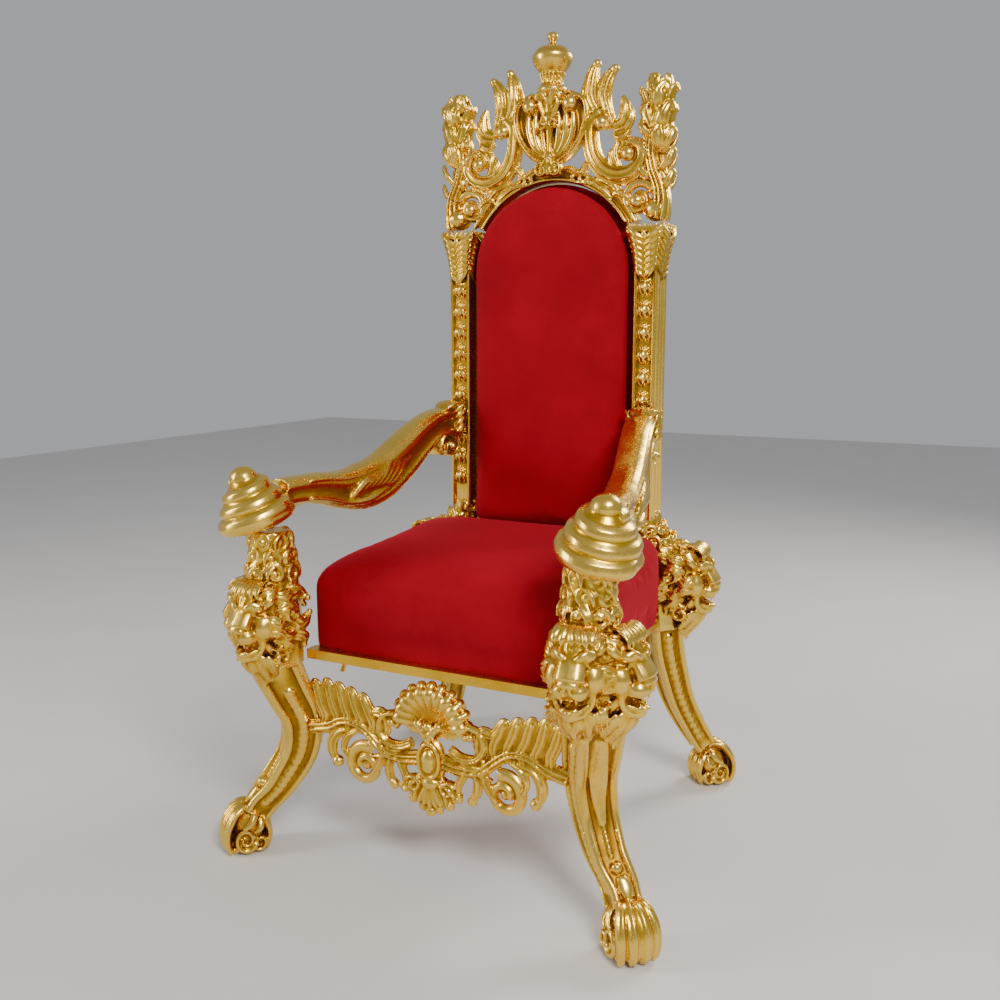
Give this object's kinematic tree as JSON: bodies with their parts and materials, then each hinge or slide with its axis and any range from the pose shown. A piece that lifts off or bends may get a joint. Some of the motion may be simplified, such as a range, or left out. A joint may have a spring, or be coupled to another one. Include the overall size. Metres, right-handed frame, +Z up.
{
  "type": "throne",
  "caption": "Gilded carved throne with lion-headed cabriole legs, coiled arm ends, red velvet seat and arched back, and a pierced crest with an urn finial",
  "frame": {"origin": "on the floor, at the middle of the throne's bounding box", "axes": "+Z up, +X to the sitter's left, the sitter faces -Y"},
  "size_m": [1.0174, 0.9778, 1.8],
  "materials": {
    "gilt": "carved wood under polished gold leaf, darker in the recesses",
    "velvet": "crimson velvet with a soft sheen"
  },
  "bodies": {
    "root": {"seat_cushion": "velvet", "back_cushion": "velvet", "back_board": "velvet", "crest": "gilt", "urn_finial": "gilt", "seat_rail_front": "gilt", "seat_rail_back": "gilt", "apron_front": "gilt", "apron_back": "gilt", "front_leg_right": "gilt", "front_leg_left": "gilt", "rear_leg_right": "gilt", "rear_leg_left": "gilt", "arm_right": "gilt", "arm_left": "gilt", "back_post_right": "gilt", "back_post_left": "gilt", "plume_right": "gilt", "plume_left": "gilt", "seat_rail_right": "gilt", "seat_rail_left": "gilt", "apron_right": "gilt", "apron_left": "gilt"}
  },
  "joints": []
}
